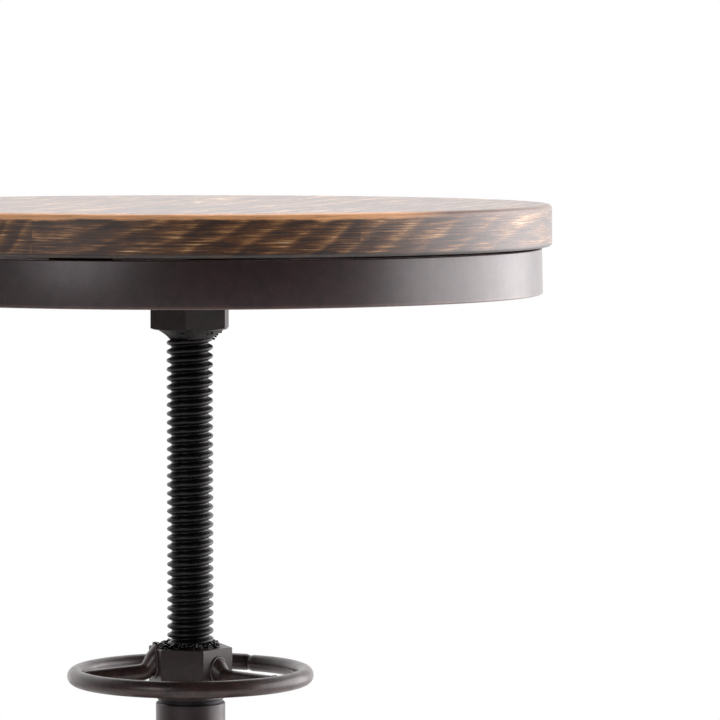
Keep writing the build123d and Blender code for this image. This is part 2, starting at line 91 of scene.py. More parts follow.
def add_node(tree, kind, inputs=None, stops=None, **settings):
    """Add a node with its settings, its ramp stops and its inputs, each a value or a socket."""
    node = tree.nodes.new(kind)
    for key, value in settings.items():
        setattr(node, key, value)
    if stops:
        ramp = node.color_ramp
        while len(ramp.elements) < len(stops):
            ramp.elements.new(1.0)
        for element, (position, colour) in zip(ramp.elements, stops):
            element.position = position
            element.color = colour
    for key, value in (inputs or {}).items():
        if isinstance(value, bpy.types.NodeSocket):
            tree.links.new(value, node.inputs[key])
        else:
            node.inputs[key].default_value = value
    return node


def start_material(name, **constants):
    """A new material with its shader's constant values set, and the place socket its patterns use."""
    material = bpy.data.materials.new(name)
    material.use_nodes = True
    tree = material.node_tree
    shader = tree.nodes["Principled BSDF"]
    for key, value in constants.items():
        shader.inputs[key.replace("_", " ").title().replace("Ior", "IOR")].default_value = value
    place = add_node(tree, "ShaderNodeTexCoord").outputs["Object"]
    return material, tree, shader, place


def coat_nodes(material, *nodes):
    """Give CAD nodes a better material."""
    for node in nodes:
        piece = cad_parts[node]
        if not piece.material_slots:
            piece.data.materials.append(material)
        for held in piece.material_slots:
            held.material = material


def skin(rings, around=True, along=False):
    """Points and faces of a surface through rings of equally many points, its ends closed by faces."""
    count = len(rings[0])
    points = [tuple(point) for ring in rings for point in ring]
    faces = []
    for i in range(len(rings) if along else len(rings) - 1):
        a = i * count
        b = (i + 1) % len(rings) * count
        for j in range(count if around else count - 1):
            k = (j + 1) % count
            faces.append((a + j, a + k, b + k, b + j))
    if not along:
        faces.append(tuple(range(count)))
        faces.append(tuple(range(len(points) - count, len(points))))
    return points, faces


def turned(profile, segments, warp=None):
    """Rings of a turned piece: profile is (radius, height) pairs, warp moves one point of it."""
    rings = []
    for step in range(segments):
        angle = tau * step / segments
        ring = []
        for radius, height in profile:
            shift, lift = warp(angle, radius, height) if warp else (0, 0)
            r = radius + shift
            ring.append((r * cos(angle), r * sin(angle), height + lift))
        rings.append(ring)
    return rings


def rod_rings(path, radii, sides, closed=False, centre=None):
    """Rings of points round a path, framed from a centre or carried along from its first point."""
    rings = []
    last = len(path) - 1
    side = None
    for i, point in enumerate(path):
        ahead = path[(i + 1) % len(path)] if closed else path[min(i + 1, last)]
        behind = path[i - 1] if closed else path[max(i - 1, 0)]
        run = (ahead - behind).normalized()
        if centre is not None:
            side = point - centre
        elif side is None:
            side = run.orthogonal()
        side = (side - run * side.dot(run)).normalized()
        other = run.cross(side)
        rings.append([
            point + (side * cos(tau * k / sides) + other * sin(tau * k / sides)) * radii[i]
            for k in range(sides)
        ])
    return rings


def joined(surfaces):
    """One list of points and faces from several surfaces."""
    points = []
    faces = []
    for more_points, more_faces in surfaces:
        start = len(points)
        points += more_points
        faces += [tuple(start + n for n in face) for face in more_faces]
    return points, faces


def cut_away(surface, point, normal):
    """The part of a closed surface behind a plane, with the cut filled."""
    mesh = bpy.data.meshes.new("cut")
    mesh.from_pydata(surface[0], [], surface[1])
    shape = bmesh.new()
    shape.from_mesh(mesh)
    found = bmesh.ops.bisect_plane(
        shape, geom=shape.verts[:] + shape.edges[:] + shape.faces[:],
        plane_co=point, plane_no=normal, clear_outer=True,
    )
    rim = [part for part in found["geom_cut"] if isinstance(part, bmesh.types.BMEdge)]
    bmesh.ops.edgeloop_fill(shape, edges=rim)
    shape.verts.index_update()
    points = [tuple(vert.co) for vert in shape.verts]
    faces = [tuple(vert.index for vert in face.verts) for face in shape.faces]
    shape.free()
    bpy.data.meshes.remove(mesh)
    return points, faces


def make_piece(name, surface, material, body, replaced=(), sharp=40):
    """Link a mesh object for a finished surface, parent it to the empty of the body it rides on, and
    hide the CAD parts it stands for.
    """
    mesh = bpy.data.meshes.new(name)
    mesh.from_pydata(surface[0], [], surface[1])
    shape = bmesh.new()
    shape.from_mesh(mesh)
    bmesh.ops.recalc_face_normals(shape, faces=shape.faces)
    shape.to_mesh(mesh)
    shape.free()
    mesh.shade_smooth()
    mesh.set_sharp_from_angle(angle=radians(sharp))
    mesh.materials.append(material)
    piece = bpy.data.objects.new(name, mesh)
    bpy.context.scene.collection.objects.link(piece)
    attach(piece, body)
    if replaced:
        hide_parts(*replaced)
    return piece


def weld_bead(path, radius, sizes, seed, centre):
    """A hand-laid bead round a closed path: evenly spaced ripples on an uneven rope of metal."""
    wander_length = 6 * MM
    wander_share = 0.2
    ripple_share = 0.045
    length = 0.0
    radii = []
    for i, point in enumerate(path):
        if i:
            length += (point - path[i - 1]).length
        wander = noise.noise(Vector((length / wander_length, seed, 0)))
        ripple = sin(tau * length / sizes.weld_ripple)
        radii.append(radius * (1 + wander_share * wander + ripple_share * ripple))
    return skin(rod_rings(path, radii, sides=14, closed=True, centre=centre), along=True)


def lump(centre, size, seed, flat):
    """An uneven droplet of metal, flattened in height."""
    rows, columns = 7, 10
    unevenness, swellings = 0.35, 1.3
    rings = []
    for row in range(1, rows):
        polar = pi * row / rows
        ring = []
        for column in range(columns):
            turn = tau * column / columns
            way = Vector((sin(polar) * cos(turn), sin(polar) * sin(turn), cos(polar)))
            swell = noise.noise(way * swellings + Vector((seed, 0, 0)))
            reach = size * (1 + unevenness * swell)
            ring.append(centre + Vector((way.x, way.y, way.z * flat)) * reach)
        rings.append(ring)
    return skin(rings)


# ------------------------------------------------------------------ sizes and colours


class StoolSizes(bpy.types.PropertyGroup):
    """Sizes of what is drawn over the frame."""

    arris: bpy.props.FloatProperty(
        name="Board arris", description="Height of the worn top edge of the seat board",
        default=2.0 * MM, unit="LENGTH", subtype="DISTANCE")
    joint_gap: bpy.props.FloatProperty(
        name="Glue joint", description="Width of the tight glue joints between the staves",
        default=0.01 * MM, unit="LENGTH", subtype="DISTANCE")
    growth_ring: bpy.props.FloatProperty(
        name="Growth ring", description="Width of one year's growth in the pine",
        default=8.5 * MM, unit="LENGTH", subtype="DISTANCE")
    hoop_wave: bpy.props.FloatProperty(
        name="Hoop wave", description="How far the rolled hoop strays from a true circle",
        default=0.12 * MM, unit="LENGTH", subtype="DISTANCE")
    hoop_wall: bpy.props.FloatProperty(
        name="Hoop wall", description="Thickness of the hoop's flat bar",
        default=3.0 * MM, unit="LENGTH", subtype="DISTANCE")
    thread_pitch: bpy.props.FloatProperty(
        name="Thread pitch", description="Rise of the lead screw's thread in one turn",
        default=4.3 * MM, unit="LENGTH", subtype="DISTANCE")
    thread_depth: bpy.props.FloatProperty(
        name="Thread depth", description="Crest to root of the lead screw's thread",
        default=2.3 * MM, unit="LENGTH", subtype="DISTANCE")
    spigot_length: bpy.props.FloatProperty(
        name="Spigot length", description="Plain end of the lead screw inside the guide bush",
        default=16.0 * MM, unit="LENGTH", subtype="DISTANCE")
    hub_flat: bpy.props.FloatProperty(
        name="Hub flat", description="Distance from the hub's axis to one of its six faces",
        default=18.0 * MM, unit="LENGTH", subtype="DISTANCE")
    spoke_kink_radius: bpy.props.FloatProperty(
        name="Spoke kink radius", description="Distance from the axis to the bend of each spoke",
        default=22.5 * MM, unit="LENGTH", subtype="DISTANCE")
    spoke_root_radius: bpy.props.FloatProperty(
        name="Spoke root radius", description="Distance from the axis to the inner end of each spoke",
        default=14.0 * MM, unit="LENGTH", subtype="DISTANCE")
    spoke_roots: bpy.props.FloatVectorProperty(
        name="Spoke roots", description="Height of each spoke's inner end above the middle of the ring",
        size=3, default=(6.5 * MM, 10.1 * MM, 12.5 * MM), unit="LENGTH")
    spoke_kinks: bpy.props.FloatVectorProperty(
        name="Spoke kinks", description="Height of each spoke's bend above the middle of the ring",
        size=3, default=(0.5 * MM, 1.7 * MM, 2.3 * MM), unit="LENGTH")
    spoke_flare: bpy.props.FloatProperty(
        name="Spoke flare", description="How far the weld runs out along each spoke from the hub's face",
        default=4.5 * MM, unit="LENGTH", subtype="DISTANCE")
    ring_joint_angle: bpy.props.FloatProperty(
        name="Ring joint", description="Direction of the handwheel ring's butt joint, from +X",
        default=radians(58.0), unit="ROTATION", subtype="ANGLE")
    ring_joint_step: bpy.props.FloatProperty(
        name="Ring joint step", description="Mismatch of the two ends at the ring's butt joint",
        default=0.45 * MM, unit="LENGTH", subtype="DISTANCE")
    weld_ripple: bpy.props.FloatProperty(
        name="Weld ripple", description="Spacing of the ripples along a weld bead",
        default=1.5 * MM, unit="LENGTH", subtype="DISTANCE")
    swarf_count: bpy.props.IntProperty(
        name="Swarf", description="Number of metal crumbs that lie on the hub round the screw",
        default=150, min=0)


class StoolColours(bpy.types.PropertyGroup):
    """Main colours of the stool's finishes."""

    stain: bpy.props.FloatVectorProperty(
        name="Dark stain", description="Stain that stays in the soft grain of the pine",
        subtype="COLOR", size=4, default=linear("#21130b"))
    stain_light: bpy.props.FloatVectorProperty(
        name="Rubbed stain", description="Stain rubbed thin over the harder grain",
        subtype="COLOR", size=4, default=linear("#694120"))
    bare_wood: bpy.props.FloatVectorProperty(
        name="Bare pine", description="Golden wood where brushing took the stain off",
        subtype="COLOR", size=4, default=linear("#c2915a"))
    coat: bpy.props.FloatVectorProperty(
        name="Brown coat", description="Antique brown powder coat of the steel",
        subtype="COLOR", size=4, default=linear("#24171a"))
    coat_light: bpy.props.FloatVectorProperty(
        name="Brown coat, light", description="Lighter clouds in the brown powder coat",
        subtype="COLOR", size=4, default=linear("#372529"))
    oiled_steel: bpy.props.FloatVectorProperty(
        name="Oiled steel", description="Blackened steel of the lead screw",
        subtype="COLOR", size=4, default=linear("#0f0e0f"))


# ------------------------------------------------------------------ finishes


def stained_pine(name, colours, sizes, cut):
    """Pine, stained dark, wire brushed and lacquered. cut moves the stave to its place in the log.

    To the eye it is nearly black in the soft grain, golden along the fibres that the brush left
    bare, and pale along the worn top edge, under a satin lacquer that goes white at a low angle.
    """
    material, tree, shader, place = start_material(name, coat_weight=0.75, coat_roughness=0.3)
    turned_place = add_node(tree, "ShaderNodeMapping", {
        "Vector": place, "Rotation": (0, 0, -GRAIN)}).outputs[0]
    along = add_node(tree, "ShaderNodeSeparateXYZ", {0: turned_place}).outputs["X"]
    in_log = add_node(tree, "ShaderNodeVectorMath", {
        0: turned_place, 1: cut}, operation="ADD").outputs[0]

    # slow wander of the grain, long in the fibre direction
    wander_length, wander_width, wander_reach = 220, 40, 12 * MM
    wander_place = add_node(tree, "ShaderNodeMapping", {
        "Vector": in_log,
        "Scale": (per_mm(wander_length), per_mm(wander_width), per_mm(wander_width))}).outputs[0]
    wander = add_node(tree, "ShaderNodeTexNoise", {
        "Vector": wander_place, "Scale": 1.0, "Detail": 3.0, "Roughness": 0.55}).outputs["Color"]
    centred = add_node(tree, "ShaderNodeVectorMath", {
        0: wander, 1: (0.5, 0.5, 0.5)}, operation="SUBTRACT").outputs[0]
    warped = add_node(tree, "ShaderNodeVectorMath", {
        0: centred, 1: (0, wander_reach, wander_reach), 2: in_log}, operation="MULTIPLY_ADD").outputs[0]

    # growth rings round the log's pith, each lighter across the year up to a dark line at its end
    wave_period = 0.314  # the wave texture's own period at a scale of 1
    rings = add_node(tree, "ShaderNodeTexWave", {
        "Vector": warped, "Scale": wave_period / sizes.growth_ring, "Distortion": 0.0},
        wave_type="RINGS", rings_direction="X", wave_profile="SAW").outputs["Fac"]
    ring_tone = add_node(tree, "ShaderNodeValToRGB", {"Fac": rings}, stops=[
        (0.0, (0.05, 0.05, 0.05, 1)), (0.35, (0.35, 0.35, 0.35, 1)),
        (0.75, (1, 1, 1, 1)), (1.0, (0.1, 0.1, 0.1, 1))]).outputs["Color"]

    # fibres along the grain, drawn coarser than the real ones, which would be too fine to show
    fibre_length, fibre_width = 45, 0.9
    fibre_place = add_node(tree, "ShaderNodeMapping", {
        "Vector": warped,
        "Scale": (per_mm(fibre_length), per_mm(fibre_width), per_mm(fibre_width))}).outputs[0]
    fibres = add_node(tree, "ShaderNodeTexNoise", {
        "Vector": fibre_place, "Scale": 1.0, "Detail": 4.0, "Roughness": 0.6}).outputs["Fac"]

    # streaks that the brush left round the rim, which take the fibres' place on its upright face;
    # they are drawn coarser than a wire's own scratch, so that they show
    streak_length, streak_width = 24, 0.55
    streak_place = add_node(tree, "ShaderNodeMapping", {
        "Vector": place,
        "Scale": (per_mm(streak_length), per_mm(streak_length), per_mm(streak_width))}).outputs[0]
    streaks = add_node(tree, "ShaderNodeTexNoise", {
        "Vector": streak_place, "Scale": 1.0, "Detail": 7.0, "Roughness": 0.8}).outputs["Fac"]
    normal = add_node(tree, "ShaderNodeNewGeometry").outputs["Normal"]
    upright = add_node(tree, "ShaderNodeSeparateXYZ", {0: normal}).outputs["Z"]
    flatness = add_node(tree, "ShaderNodeMath", {0: upright}, operation="ABSOLUTE").outputs[0]
    on_rim = add_node(tree, "ShaderNodeMapRange", {
        "Value": flatness, "From Min": 0.25, "From Max": 0.8,
        "To Min": 1.0, "To Max": 0.0}).outputs[0]
    brushed = add_node(tree, "ShaderNodeMix", {
        0: on_rim, 2: fibres, 3: streaks}, data_type="FLOAT").outputs[0]

    # stain in the soft grain, rubbed away in patches and along the harder fibres
    patch_length, patch_width, patch_height = 70, 16, 7
    patch_place = add_node(tree, "ShaderNodeMapping", {
        "Vector": warped,
        "Scale": (per_mm(patch_length), per_mm(patch_width), per_mm(patch_height))}).outputs[0]
    patches = add_node(tree, "ShaderNodeTexNoise", {
        "Vector": patch_place, "Scale": 1.0, "Detail": 3.0}).outputs["Fac"]
    patch_share, ring_share = 0.27, 0.11
    rubbed = add_node(tree, "ShaderNodeMath", {
        0: patches, 1: patch_share, 2: brushed}, operation="MULTIPLY_ADD").outputs[0]
    ringed = add_node(tree, "ShaderNodeMath", {
        0: ring_tone, 1: ring_share, 2: rubbed}, operation="MULTIPLY_ADD").outputs[0]
    depth = add_node(tree, "ShaderNodeMapRange", {
        "Value": ringed, "From Min": 0.47, "From Max": 0.92}).outputs[0]
    wood = add_node(tree, "ShaderNodeValToRGB", {"Fac": depth}, stops=[
        (0.2, colours.stain), (0.4, linear("#3c2313")), (0.56, colours.stain_light),
        (0.68, linear("#94683c")), (0.8, colours.bare_wood),
        (0.96, linear("#ecd6ac"))]).outputs["Color"]

    # the rounded top edge, rubbed through to bare wood in a ragged line
    flat_place = add_node(tree, "ShaderNodeVectorMath", {
        0: place, 1: (1, 1, 0)}, operation="MULTIPLY").outputs[0]
    radius = add_node(tree, "ShaderNodeVectorMath", {
        0: flat_place}, operation="LENGTH").outputs["Value"]
    height = add_node(tree, "ShaderNodeSeparateXYZ", {0: place}).outputs["Z"]
    ragged_reach = 3.2 * MM
    ragged = add_node(tree, "ShaderNodeMath", {
        0: patches, 1: ragged_reach, 2: height}, operation="MULTIPLY_ADD").outputs[0]
    near_rim = add_node(tree, "ShaderNodeMapRange", {
        "Value": radius, "From Min": BOARD_R - 2.4 * MM, "From Max": BOARD_R - 1.0 * MM}).outputs[0]
    near_top = add_node(tree, "ShaderNodeMapRange", {
        "Value": ragged, "From Min": BOARD_TOP - 1.7 * MM, "From Max": BOARD_TOP - 0.7 * MM}).outputs[0]
    edge = add_node(tree, "ShaderNodeMath", {
        0: near_rim, 1: near_top}, operation="MULTIPLY").outputs[0]
    worn = add_node(tree, "ShaderNodeMapRange", {
        "Value": streaks, "From Min": 0.34, "From Max": 0.52, "To Min": 0.35, "To Max": 1.0}).outputs[0]
    edge_wear = add_node(tree, "ShaderNodeMath", {0: edge, 1: worn}, operation="MULTIPLY").outputs[0]

    # the bare edge is brightest where the fibres end, towards both ends of the staves
    reach = add_node(tree, "ShaderNodeMath", {0: along}, operation="ABSOLUTE").outputs[0]
    end_grain = add_node(tree, "ShaderNodeMapRange", {
        "Value": reach, "From Min": 0.5 * BOARD_R, "From Max": 0.66 * BOARD_R}).outputs[0]
    edge_tone = add_node(tree, "ShaderNodeMix", {
        0: end_grain, 6: linear("#755340"), 7: linear("#f6b57c")}, data_type="RGBA").outputs[2]
    wood = add_node(tree, "ShaderNodeMix", {
        0: edge_wear, 6: wood, 7: edge_tone}, data_type="RGBA").outputs[2]

    # the lower edge, which faces down, is painted darker: painted shade
    painted_shade_under_edge = add_node(tree, "ShaderNodeMapRange", {
        "Value": height, "From Min": BOARD_BOTTOM + 1.4 * MM, "From Max": BOARD_BOTTOM + 2.4 * MM,
        "To Min": 0.9, "To Max": 0.0}).outputs[0]
    wood = add_node(tree, "ShaderNodeMix", {
        0: painted_shade_under_edge, 6: wood, 7: linear("#1e1a17")}, data_type="RGBA").outputs[2]

    roughness = add_node(tree, "ShaderNodeMapRange", {
        "Value": brushed, "From Min": 0.3, "From Max": 0.7, "To Min": 0.56, "To Max": 0.42}).outputs[0]
    relief = add_node(tree, "ShaderNodeMath", {
        0: ring_tone, 1: 0.4, 2: brushed}, operation="MULTIPLY_ADD").outputs[0]
    bump = add_node(tree, "ShaderNodeBump", {
        "Height": relief, "Strength": 0.5, "Distance": 0.3 * MM}).outputs[0]
    tree.links.new(wood, shader.inputs["Base Color"])
    tree.links.new(roughness, shader.inputs["Roughness"])
    tree.links.new(bump, shader.inputs["Normal"])
    tree.links.new(bump, shader.inputs["Coat Normal"])
    return material


def powder_coat(name, dark, light, speck="#46302c", rough=(0.38, 0.5), peel=0.05, painted_light_bands=(), glaze=0.35):
    """Powder-coated steel under an antique glaze: cloudy brown with fine reddish specks.

    rough is the lowest and highest roughness, peel the relief in millimetres, glaze the weight of
    the clear coat, and each painted band is (height, half width, colour) of a line painted along an
    edge: lighter for a painted highlight, darker for painted shade.
    """
    material, tree, shader, place = start_material(name, coat_weight=glaze, coat_roughness=0.34)
    cloud_width, speck_width = 7, 1.1  # the powder's specks are drawn coarser than real, to show
    clouds = add_node(tree, "ShaderNodeTexNoise", {
        "Vector": place, "Scale": per_mm(cloud_width), "Detail": 5.0, "Roughness": 0.62}).outputs["Fac"]
    colour = add_node(tree, "ShaderNodeValToRGB", {"Fac": clouds}, stops=[
        (0.36, dark), (0.66, light)]).outputs["Color"]
    grit = add_node(tree, "ShaderNodeTexNoise", {
        "Vector": place, "Scale": per_mm(speck_width), "Detail": 3.0, "Roughness": 0.6}).outputs["Fac"]
    specks = add_node(tree, "ShaderNodeMapRange", {
        "Value": grit, "From Min": 0.56, "From Max": 0.7, "To Max": 0.55}).outputs[0]
    colour = add_node(tree, "ShaderNodeMix", {
        0: specks, 6: colour, 7: linear(speck)}, data_type="RGBA").outputs[2]
    height = add_node(tree, "ShaderNodeSeparateXYZ", {0: place}).outputs["Z"]
    # each band paints light onto the coat: a lighter colour stands in for a highlight along an edge, a
    # darker one for shade; the clouds break the line up
    for band_height, half_width, painted_band_colour in painted_light_bands:
        rise = add_node(tree, "ShaderNodeMath", {
            0: height, 1: band_height}, operation="SUBTRACT").outputs[0]
        away = add_node(tree, "ShaderNodeMath", {0: rise}, operation="ABSOLUTE").outputs[0]
        rubbed = add_node(tree, "ShaderNodeMapRange", {
            "Value": away, "From Min": half_width * 0.5, "From Max": half_width,
            "To Min": 0.8, "To Max": 0.0}).outputs[0]
        painted_band_mask = add_node(tree, "ShaderNodeMath", {
            0: rubbed, 1: clouds}, operation="MULTIPLY").outputs[0]
        colour = add_node(tree, "ShaderNodeMix", {
            0: painted_band_mask, 6: colour, 7: linear(painted_band_colour)}, data_type="RGBA").outputs[2]
    roughness = add_node(tree, "ShaderNodeMapRange", {
        "Value": clouds, "From Min": 0.3, "From Max": 0.7,
        "To Min": rough[1], "To Max": rough[0]}).outputs[0]
    bump = add_node(tree, "ShaderNodeBump", {
        "Height": grit, "Strength": 0.5, "Distance": peel * MM}).outputs[0]
    tree.links.new(colour, shader.inputs["Base Color"])
    tree.links.new(roughness, shader.inputs["Roughness"])
    tree.links.new(bump, shader.inputs["Normal"])
    return material


def blackened_steel(colours):
    """Rolled and blackened steel, wet with oil: nearly black, with crests polished by the bush."""
    material, tree, shader, place = start_material(
        "oiled_blackened_steel", metallic=0.5, coat_weight=0.2, coat_roughness=0.34)
    flat_place = add_node(tree, "ShaderNodeVectorMath", {
        0: place, 1: (1, 1, 0)}, operation="MULTIPLY").outputs[0]
    radius = add_node(tree, "ShaderNodeVectorMath", {
        0: flat_place}, operation="LENGTH").outputs["Value"]
    scuff_width = 2.5
    scuffs = add_node(tree, "ShaderNodeTexNoise", {
        "Vector": place, "Scale": per_mm(scuff_width), "Detail": 5.0, "Roughness": 0.65}).outputs["Fac"]
    crest = add_node(tree, "ShaderNodeMapRange", {
        "Value": radius, "From Min": SCREW_R - 0.5 * MM, "From Max": SCREW_R}).outputs[0]
    rubbed = add_node(tree, "ShaderNodeMapRange", {
        "Value": scuffs, "From Min": 0.42, "From Max": 0.66, "To Max": 0.5}).outputs[0]
    bright = add_node(tree, "ShaderNodeMath", {0: crest, 1: rubbed}, operation="MULTIPLY").outputs[0]
    colour = add_node(tree, "ShaderNodeMix", {
        0: bright, 6: colours.oiled_steel, 7: linear("#2a2a2b")}, data_type="RGBA").outputs[2]
    roughness = add_node(tree, "ShaderNodeMapRange", {
        "Value": scuffs, "From Min": 0.3, "From Max": 0.7, "To Min": 0.28, "To Max": 0.5}).outputs[0]
    bump = add_node(tree, "ShaderNodeBump", {
        "Height": scuffs, "Strength": 0.35, "Distance": 0.15 * MM}).outputs[0]
    tree.links.new(colour, shader.inputs["Base Color"])
    tree.links.new(roughness, shader.inputs["Roughness"])
    tree.links.new(bump, shader.inputs["Normal"])
    return material


def fine_finish(name, dark, light, patch, rough, grain, relief, stretch=(1, 1, 1), **constants):
    """A plain finish whose two tones and roughness follow one noise, and its relief a finer one.

    patch, grain and relief are the tones' width, the relief's width and its depth in millimetres,
    rough is the roughness of the dark and of the light tone, and stretch squeezes both patterns.
    """
    material, tree, shader, place = start_material(name, **constants)
    tone_place = add_node(tree, "ShaderNodeMapping", {"Vector": place, "Scale": stretch}).outputs[0]
    tone = add_node(tree, "ShaderNodeTexNoise", {
        "Vector": tone_place, "Scale": per_mm(patch), "Detail": 4.0, "Roughness": 0.6}).outputs["Fac"]
    colour = add_node(tree, "ShaderNodeValToRGB", {"Fac": tone}, stops=[
        (0.35, linear(dark)), (0.65, linear(light))]).outputs["Color"]
    roughness = add_node(tree, "ShaderNodeMapRange", {
        "Value": tone, "From Min": 0.3, "From Max": 0.7,
        "To Min": rough[0], "To Max": rough[1]}).outputs[0]
    grains = add_node(tree, "ShaderNodeTexNoise", {
        "Vector": tone_place, "Scale": per_mm(grain), "Detail": 2.0}).outputs["Fac"]
    bump = add_node(tree, "ShaderNodeBump", {
        "Height": grains, "Strength": 0.4, "Distance": relief * MM}).outputs[0]
    tree.links.new(colour, shader.inputs["Base Color"])
    tree.links.new(roughness, shader.inputs["Roughness"])
    tree.links.new(bump, shader.inputs["Normal"])
    return material


# ------------------------------------------------------------------ pieces


def board_profile(arris):
    """Half outline of the board, from its flat top round the worn edge and rim to its underside."""
    flat_r = BOARD_R - 14 * MM
    lower_edge = 1.6 * MM
    top_steps, side_rows, bottom_steps = 6, 14, 5
    side_top = BOARD_TOP - arris
    side_bottom = BOARD_BOTTOM + lower_edge
    profile = [(flat_r, BOARD_TOP), (BOARD_R - 8 * MM, BOARD_TOP), (BOARD_R - 4 * MM, BOARD_TOP)]
    for step in range(top_steps + 1):
        turn = pi / 2 * step / top_steps
        profile.append((BOARD_R - arris * (1 - sin(turn)), BOARD_TOP - arris * (1 - cos(turn))))
    for row in range(1, side_rows):
        profile.append((BOARD_R, side_top + (side_bottom - side_top) * row / side_rows))
    for step in range(bottom_steps + 1):
        turn = pi / 2 * step / bottom_steps
        profile.append((
            BOARD_R - lower_edge * (1 - cos(turn)), side_bottom - lower_edge * sin(turn)))
    profile.append((flat_r, BOARD_BOTTOM))
    return profile


def board_wear(angle, radius, height):
    """How far sanding and brushing took the rim inwards at one point."""
    if radius < BOARD_R - 3 * MM:
        return 0, 0
    hollow, hollow_length = 0.16 * MM, 26 * MM
    score, score_length, score_width = 0.07 * MM, 11 * MM, 1.4 * MM
    place = Vector((BOARD_R * cos(angle), BOARD_R * sin(angle), height))
    slow = noise.noise(place / hollow_length)
    brush = noise.noise(Vector((place.x / score_length, place.y / score_length, height / score_width)))
    return -hollow * (0.5 + slow) - score * (1 + brush), 0


class STOOL_OT_seat_board(bpy.types.Operator):
    """Make the three glued pine staves of the seat"""

    bl_idname = "stool.seat_board"
    bl_label = "Seat board"

    def execute(self, context):
        sizes = context.scene.stool_sizes
        colours = context.scene.stool_colours
        profile = board_profile(sizes.arris)
        count = len(profile)
        points, faces = skin(turned(profile, segments=900, warp=board_wear), around=False, along=True)
        faces.append(tuple(range(0, len(points), count)))
        faces.append(tuple(range(count - 1, len(points), count)))

        # each stave's span across the grain, from where the frame's staves begin
        across = Vector((sin(GRAIN), -cos(GRAIN), 0))
        joints = []
        for node in BOARD_NODES[1:]:
            joints.append(min(across.dot(vert.co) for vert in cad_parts[node].data.vertices))
        spans = [(None, joints[0]), (joints[0], joints[1]), (joints[1], None)]

        # the middle and right staves are cut from one log, whose pith runs above the board
        pith_aside, pith_height = 0.031, 0.9176
        cuts = [
            (0.31, 0.14, -0.62), (0.0, -pith_aside, -pith_height), (0.03, -pith_aside, -pith_height)]
        for node, (start, end), cut in zip(BOARD_NODES, spans, cuts):
            surface = (points, faces)
            if start is not None:
                surface = cut_away(surface, across * (start + sizes.joint_gap / 2), -across)
            if end is not None:
                surface = cut_away(surface, across * (end - sizes.joint_gap / 2), across)
            name = "brushed_stained_pine_" + node.removeprefix("seat_stave_")
            pine = stained_pine(name, colours, sizes, cut)
            make_piece(node + "_board", surface, pine, "seat", [node])
        return {"FINISHED"}


class STOOL_OT_seat_hoop(bpy.types.Operator):
    """Make the rolled steel hoop under the board"""

    bl_idname = "stool.seat_hoop"
    bl_label = "Seat hoop"

    def execute(self, context):
        sizes = context.scene.stool_sizes
        colours = context.scene.stool_colours
        wall = sizes.hoop_wall
        outer = HOOP_HIGH.x
        top_outer = outer - 0.4 * MM  # the hoop leans in by this much at its top
        low, high = HOOP_LOW.z, HOOP_HIGH.z
        edge_r = 0.7 * MM
        edge_steps = 4
        corners = [
            (top_outer, high, 0), (outer, low, -pi / 2),
            (outer - wall, low, -pi), (top_outer - wall, high, -3 * pi / 2)]
        profile = []
        for radius, height, start in corners:
            centre_r = radius - edge_r if radius >= top_outer else radius + edge_r
            centre_z = height - edge_r if height == high else height + edge_r
            for step in range(edge_steps + 1):
                turn = start + pi / 2 - pi / 2 * step / edge_steps
                profile.append((centre_r + edge_r * cos(turn), centre_z + edge_r * sin(turn)))

        def rolled(angle, radius, height):
            waves_round, wave_height, lean = 3, 40 * MM, 0.4
            place = Vector((cos(angle), sin(angle), height / wave_height))
            return sizes.hoop_wave * (noise.noise(place * waves_round) - lean), 0

        # the smoothest coat: a heavy glaze mirrors the room, so the hoop runs from nearly black to
        # pale grey round its curve; the thin lighter lines along both edges are painted highlights
        painted_light_bands = [(high - 0.4 * MM, 0.7 * MM, "#5a403c"), (low + 0.6 * MM, 1.1 * MM, "#6d5248")]
        coat = powder_coat(
            "antique_powder_coat_hoop", colours.coat, linear("#38252a"), speck="#532f35",
            rough=(0.4, 0.46), peel=0.03, glaze=0.85, painted_light_bands=painted_light_bands)
        surface = skin(turned(profile, segments=720, warp=rolled), along=True)
        make_piece("seat_hoop_rolled", surface, coat, "seat", ["seat_hoop"])
        return {"FINISHED"}


def nut_weld_surfaces():
    """The built-up fillet between the seat nut's face and the screw, with spatter round it."""
    bottom = NUT_LOW.z
    inside = SCREW_R - 1.6 * MM
    steps = [
        (15.6, 0.0), (15.1, 0.6), (14.1, 1.2), (13.2, 1.9), (12.2, 2.8), (11.2, 3.7), (10.4, 4.6)]
    face_r = steps[0][0] * MM
    profile = [(inside, bottom)]
    profile += [(radius * MM, bottom - drop * MM) for radius, drop in steps]
    profile.append((inside, bottom - steps[-1][1] * MM))

    def laid(angle, radius, height):
        if radius <= inside:
            return 0, 0
        around = Vector((cos(angle), sin(angle), 0))
        swells, lumps, ripples = 2.2, 9, 34  # about how many there are round the weld
        slow = noise.noise(around * swells + Vector((0, 0, height / (3 * MM))))
        fine = noise.noise(around * lumps + Vector((4, 0, height / (1.2 * MM))))
        ripple = sin(angle * ripples + height / (0.5 * MM))
        heavy = 0.75 * cos(angle)  # more metal was laid on the +X side
        return (heavy + 0.8 * slow + 0.4 * fine + 0.12 * ripple) * MM, 0.3 * MM * fine

    surfaces = [skin(turned(profile, segments=220, warp=laid), along=True)]
    dice = random.Random(11)
    droplets, slant = 22, 0.75
    for n in range(droplets):
        angle = radians(dice.gauss(-25, 55))
        drop = dice.uniform(0, 4.4) * MM
        radius = face_r - drop * slant + dice.uniform(-0.6, 0.6) * MM
        place = Vector((radius * cos(angle), radius * sin(angle), bottom - drop))
        surfaces.append(lump(place, dice.uniform(0.35, 0.85) * MM, seed=n * 3.7, flat=0.8))
    return surfaces


